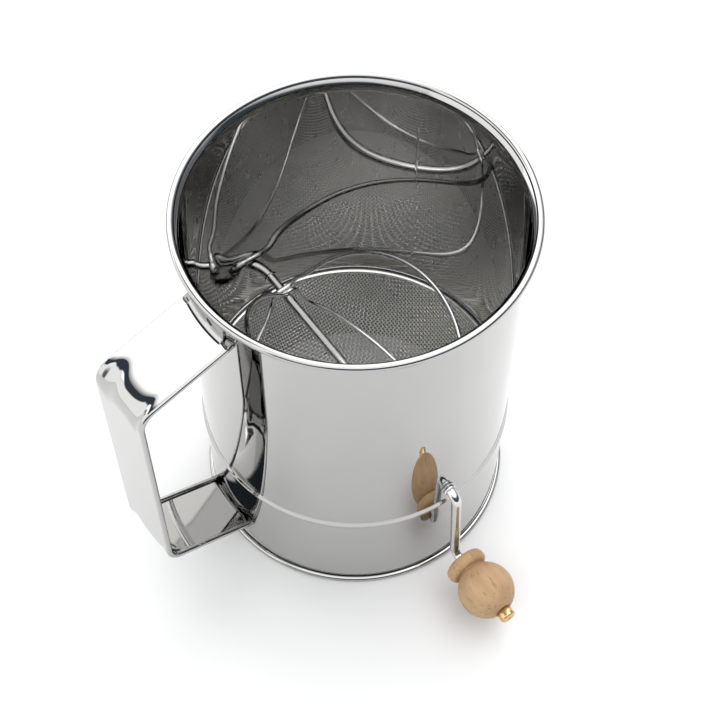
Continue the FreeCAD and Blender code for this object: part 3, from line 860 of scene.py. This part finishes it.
def strap():
    """The strap, with both arms trimmed to the round wall they meet."""
    hinge = Vector((-STRAP_WALL_R, 0, 0))
    turn = Matrix.Rotation(math.radians(STRAP_SKEW), 4, "Z")
    skew = Matrix.Translation(hinge) @ turn @ Matrix.Translation(-hinge)
    section = strap_section()
    paths = [strap_path(web_bend_r(across)) for across, _ in section]
    verts = []
    last = len(paths[0]) - 1
    for i in range(last + 1):
        for path, (across, depth) in zip(paths, section):
            along = (path[min(i + 1, last)] - path[max(i - 1, 0)]).normalized()
            inward = along.cross(Vector((0, 1, 0)))
            spot = skew @ (path[i] + Vector((0, across, 0)) + inward * depth)
            if i in (0, last):
                spot = slide_to_wall(spot, skew.to_3x3() @ along)
            verts.append(spot)
    ring = len(section)
    faces = []
    for i in range(last):
        for j in range(ring):
            beside = (j + 1) % ring
            faces.append((i * ring + j, (i + 1) * ring + j, (i + 1) * ring + beside, i * ring + beside))
    faces.append(tuple(range(ring)))
    faces.append(tuple(last * ring + j for j in reversed(range(ring))))
    new_piece("strap", verts, faces, "can", "polished_steel", "handle_strap")


def plate(name, rows, thickness, dent):
    """Closed steel sheet about a grid of mid points; dent(point) presses its outer side in."""
    height, width = len(rows), len(rows[0])
    outer, inner = [], []
    for i in range(height):
        for j in range(width):
            down = rows[min(i + 1, height - 1)][j] - rows[max(i - 1, 0)][j]
            right = rows[i][min(j + 1, width - 1)] - rows[i][max(j - 1, 0)]
            normal = down.cross(right).normalized()
            outer.append(rows[i][j] + normal * (thickness / 2 - dent(rows[i][j])))
            inner.append(rows[i][j] - normal * thickness / 2)
    half = height * width
    faces = []
    for i in range(height - 1):
        for j in range(width - 1):
            a, b, c, d = i * width + j, (i + 1) * width + j, (i + 1) * width + j + 1, i * width + j + 1
            faces.append((a, b, c, d))
            faces.append((half + d, half + c, half + b, half + a))
    rim = list(range(width)) + [i * width + width - 1 for i in range(1, height)]
    rim += [(height - 1) * width + j for j in reversed(range(width - 1))]
    rim += [i * width for i in reversed(range(1, height - 1))]
    for a, b in zip(rim, rim[1:] + rim[:1]):
        faces.append((a, b, half + b, half + a))
    new_piece(name, outer + inner, faces, "can", "polished_steel")


def arm_height(x, y, root_z, slope, upward):
    """Height of the middle of an arm's sheet at a place in plan; upward is 1 for the top arm, else -1."""
    skew = math.radians(STRAP_SKEW)
    out = -(x + STRAP_WALL_R) * math.cos(skew) - y * math.sin(skew)
    lean = math.radians(slope)
    return root_z - upward * (math.tan(lean) * out + STRAP_SHEET / 2 / math.cos(lean))


def weld_place(root_z, upward):
    """Middle of the spot weld in a tab, at the middle of the tab's sheet."""
    wall_r = STRAP_WALL_R + STRAP_SHEET / 2
    return Vector((-math.sqrt(wall_r ** 2 - WELD_ASIDE ** 2), WELD_ASIDE, root_z + upward * WELD_OFFSET))


def weld_nuggets():
    """Dark nuggets, one in each welding tab, slightly dished."""
    verts, faces = [], []
    for root_z, upward in ((STRAP_TOP_Z, 1), (STRAP_BOTTOM_Z, -1)):
        place = Matrix.Translation(weld_place(root_z, upward)) @ Matrix.Rotation(-math.pi / 2, 4, "Y")
        faces += grid_faces(WELD_STEPS, len(WELD_SECTION), len(verts))
        for i in range(WELD_STEPS):
            turn = 2 * math.pi * i / WELD_STEPS
            for share, height in WELD_SECTION:
                r = WELD_R * share
                verts.append(place @ Vector((r * math.cos(turn), r * math.sin(turn), height)))
    new_piece("weld_nuggets", verts, faces, "can", "weld_steel", "handle_spot_welds")


def welding_tab(name, root_z, slope, upward):
    """Tab at an arm's root: leaves the arm between its rolled edges and turns along the can's wall."""
    wall_r = STRAP_WALL_R + STRAP_SHEET / 2
    weld = weld_place(root_z, upward)
    strips = []
    for j in range(TAB_COLUMNS):
        across = TAB_WIDTH * (j / (TAB_COLUMNS - 1) - 0.5)
        angle = math.pi - across / STRAP_WALL_R * upward
        plan = Vector((math.cos(angle), math.sin(angle), 0))
        start, corner = plan * (wall_r + TAB_BEND_R), plan * wall_r
        for spot in (start, corner):
            spot.z = arm_height(spot.x, spot.y, root_z, slope, upward)
        end = corner + Vector((0, 0, upward * TAB_BEND_R))
        strip = [start * (1 - t) ** 2 + corner * 2 * t * (1 - t) + end * t ** 2
                 for t in (i / TAB_BEND_STEPS for i in range(TAB_BEND_STEPS + 1))]
        beyond = max(0.0, abs(across) - (TAB_WIDTH / 2 - TAB_CORNER_R))
        drop = TAB_CORNER_R - math.sqrt(max(TAB_CORNER_R ** 2 - beyond ** 2, 0.0))
        top = Vector((end.x, end.y, root_z + upward * (TAB_HEIGHT - drop)))
        strip += [end.lerp(top, i / TAB_STEPS) for i in range(1, TAB_STEPS + 1)]
        strips.append(strip)

    def dent(point):
        beside = (point - weld).length - WELD_R * WELD_DENT_FLAT
        return WELD_DENT * (1 - smooth_step(beside / (WELD_R * WELD_DENT_SLOPE)))

    plate(name, list(zip(*strips)), TAB_SHEET, dent)


# --- stage -------------------------------------------------------------------------

# The room is a sky whose light depends only on the direction. A direction's components run from -1 to
# 1: X away from the handle, Y away from the crank, Z up. An edge is the pair (where a light or a dark
# part has not begun, where it is full).
ROOM_POWER = 1.85
ROOM_GLOW = (                     # (height of the direction, colour), horizon to zenith
    (0.0, (0.09, 0.095, 0.105, 1)),
    (0.35, (0.13, 0.14, 0.155, 1)),
    (0.60, (0.70, 0.71, 0.72, 1)),
    (0.80, (1.0, 1.0, 1.0, 1)),
)
PANEL_GLOW = 1.4                  # tall light behind the sifter, times the room's power
PANEL_EDGE_Y = (0.34, 0.42)
PANEL_EDGE_X = (-0.62, -0.52)
PANEL_EDGE_Z = (0.12, 0.22)
SIDE_GLOW = 0.92                  # pale wall on the handle's side, beyond a dark gap
SIDE_EDGE_X = (-0.50, -0.60)
SIDE_EDGE_Y = (-0.30, -0.10)
DARK_COLOUR = (0.035, 0.045, 0.058, 1)
GAP_EDGES_X = ((-0.22, -0.28), (-0.70, -0.62))      # dark gap between the panel and that wall
GAP_EDGE_Y = (0.1, 0.2)
GAP_EDGE_Z = (0.50, 0.60)
FRONT_EDGE_Y = (-0.45, -0.62)     # the room is dark behind the camera, between two heights
FRONT_EDGES_Z = ((0.0, 0.02), (0.66, 0.52))
CAMERA_BACKDROP = (1, 1, 1, 1)    # what the camera itself sees of the room
SOFTBOX_PLACE = Vector((0.45, 0.10, 1.3))
SOFTBOX_SIZE = (0.8, 0.8)
SOFTBOX_POWER = 4.0
TABLE_R = 3.0
TABLE_STEPS = 96
TABLE_COLOUR = (0.80, 0.80, 0.80, 1)
TABLE_ROUGHNESS = 0.9
CAMERA_AIM = Vector((-0.0017, -0.0056, 0.080))      # from the can's axis at the table
CAMERA_DISTANCE = 0.5887
CAMERA_AZIMUTH = math.radians(-125.84)
CAMERA_ELEVATION = math.radians(57.12)
CAMERA_ROLL = math.radians(0.41)
CAMERA_LENS = 75.88               # millimetres, on the sensor's width
CAMERA_SENSOR = 36.0
CAMERA_CLIP = 0.01


def table():
    """The plain round floor."""
    turns = [2 * math.pi * i / TABLE_STEPS for i in range(TABLE_STEPS)]
    edge = [(TABLE_R * math.cos(turn), TABLE_R * math.sin(turn), 0) for turn in turns]
    mesh = bpy.data.meshes.new("table")
    mesh.from_pydata(edge, [], [tuple(range(TABLE_STEPS))])
    top = bpy.data.objects.new("table", mesh)
    bpy.context.scene.collection.objects.link(top)
    n = Nodes("white_table")
    n.put(n.surface, "Base Color", TABLE_COLOUR)
    n.put(n.surface, "Roughness", TABLE_ROUGHNESS)
    mesh.materials.append(n.material)


def softbox():
    """Weak wide lamp above the sifter, a little to its right."""
    lamp = bpy.data.lights.new("softbox", "AREA")
    lamp.shape = "RECTANGLE"
    lamp.size, lamp.size_y = SOFTBOX_SIZE
    lamp.energy = SOFTBOX_POWER
    light = bpy.data.objects.new("softbox", lamp)
    light.location = SOFTBOX_PLACE
    light.rotation_euler = SOFTBOX_PLACE.to_track_quat("Z", "Y").to_euler()
    bpy.context.scene.collection.objects.link(light)


def soft_room():
    """A room with a bright ceiling, a panel, a side wall and dark gaps; the camera sees plain white."""
    world = bpy.data.worlds.new("soft_room")
    bpy.context.scene.world = world
    world.use_nodes = True
    tree = world.node_tree
    direction = tree.nodes.new("ShaderNodeTexCoord")
    split = tree.nodes.new("ShaderNodeSeparateXYZ")
    tree.links.new(direction.outputs["Generated"], split.inputs[0])

    def combine(kind, *values):
        """Output of nodes that multiply values or take their largest."""
        result = values[0]
        for value in values[1:]:
            node = tree.nodes.new("ShaderNodeMath")
            node.operation = kind
            feed(tree, node.inputs[0], result)
            feed(tree, node.inputs[1], value)
            result = node.outputs[0]
        return result

    def edge(component, bounds):
        """0 on one side of a component's bounds, 1 on the other, softly."""
        node = tree.nodes.new("ShaderNodeMapRange")
        node.interpolation_type = "SMOOTHSTEP"
        feed(tree, node.inputs["Value"], split.outputs[component])
        feed(tree, node.inputs["From Min"], bounds[0])
        feed(tree, node.inputs["From Max"], bounds[1])
        return node.outputs[0]

    ramp = tree.nodes.new("ShaderNodeValToRGB")
    feed(tree, ramp.inputs["Fac"], split.outputs["Z"])
    stops = ramp.color_ramp.elements
    stops[0].position, stops[0].color = ROOM_GLOW[0]
    stops[1].position, stops[1].color = ROOM_GLOW[-1]
    for position, colour in ROOM_GLOW[1:-1]:
        stops.new(position).color = colour

    panel = combine("MULTIPLY", edge("Y", PANEL_EDGE_Y), edge("X", PANEL_EDGE_X), edge("Z", PANEL_EDGE_Z),
                    PANEL_GLOW)
    side = combine("MULTIPLY", edge("X", SIDE_EDGE_X), edge("Y", SIDE_EDGE_Y), SIDE_GLOW)
    gap = combine("MULTIPLY", *(edge("X", bounds) for bounds in GAP_EDGES_X), edge("Y", GAP_EDGE_Y),
                  edge("Z", GAP_EDGE_Z))
    front = combine("MULTIPLY", edge("Y", FRONT_EDGE_Y), *(edge("Z", bounds) for bounds in FRONT_EDGES_Z))
    shine = colour_mix(tree, "LIGHTEN", 1.0, ramp.outputs["Color"], combine("MAXIMUM", panel, side))
    shine = colour_mix(tree, "MIX", combine("MAXIMUM", gap, front), shine, DARK_COLOUR)

    room = tree.nodes["Background"]
    feed(tree, room.inputs["Color"], shine)
    feed(tree, room.inputs["Strength"], ROOM_POWER)
    backdrop = tree.nodes.new("ShaderNodeBackground")
    feed(tree, backdrop.inputs["Color"], CAMERA_BACKDROP)
    ray = tree.nodes.new("ShaderNodeLightPath")
    either = tree.nodes.new("ShaderNodeMixShader")
    feed(tree, either.inputs[0], ray.outputs["Is Camera Ray"])
    feed(tree, either.inputs[1], room.outputs[0])
    feed(tree, either.inputs[2], backdrop.outputs[0])
    feed(tree, tree.nodes["World Output"].inputs["Surface"], either.outputs[0])


def camera():
    """Looks down at the sifter from the front, between the handle and the knob."""
    level = math.cos(CAMERA_ELEVATION)
    back = Vector((math.cos(CAMERA_AZIMUTH) * level, math.sin(CAMERA_AZIMUTH) * level,
                   math.sin(CAMERA_ELEVATION)))
    data = bpy.data.cameras.new("camera")
    data.lens = CAMERA_LENS
    data.sensor_width = CAMERA_SENSOR
    data.clip_start = CAMERA_CLIP
    view = bpy.data.objects.new("camera", data)
    turn = back.to_track_quat("Z", "Y").to_matrix().to_4x4() @ Matrix.Rotation(CAMERA_ROLL, 4, "Z")
    view.matrix_world = Matrix.Translation(CAN_AXIS + CAMERA_AIM + back * CAMERA_DISTANCE) @ turn
    bpy.context.scene.collection.objects.link(view)
    bpy.context.scene.camera = view


# --- the whole scene -----------------------------------------------------------------

def dress_cad_nodes():
    """Gives every CAD node its slot's material; only rim_wire and base_wire stay on show."""
    for entry in frame["record"]["subparts"]:
        node = frame["nodes"][entry["node"]]
        node.data.materials.clear()
        node.data.materials.append(MATERIALS[entry["material_slot"]])


dress_cad_nodes()
can_wall()
sieve_ring()
sieve_cloth()
crank_wire()
agitator_loop("agitator_bow_a", LOOP_A_ARMS, LOOP_STAGGER, "agitator_loop_a")
agitator_loop("agitator_bow_b", LOOP_B_ARMS, -LOOP_STAGGER, "agitator_loop_b")
eyelet("front_bush", FRONT_SHAFT_AXIS, "front_eyelet")
eyelet("rear_bush", REAR_SHAFT_AXIS, "rear_eyelet")
stop_ring()
shaft_cap()
wooden_knob()
brass_nut()
strap()
welding_tab("upper_tab", STRAP_TOP_Z, STRAP_TOP_SLOPE, 1)
welding_tab("lower_tab", STRAP_BOTTOM_Z, STRAP_BOTTOM_SLOPE, -1)
weld_nuggets()
table()
soft_room()
softbox()
camera()
bpy.context.scene.view_settings.view_transform = "Standard"
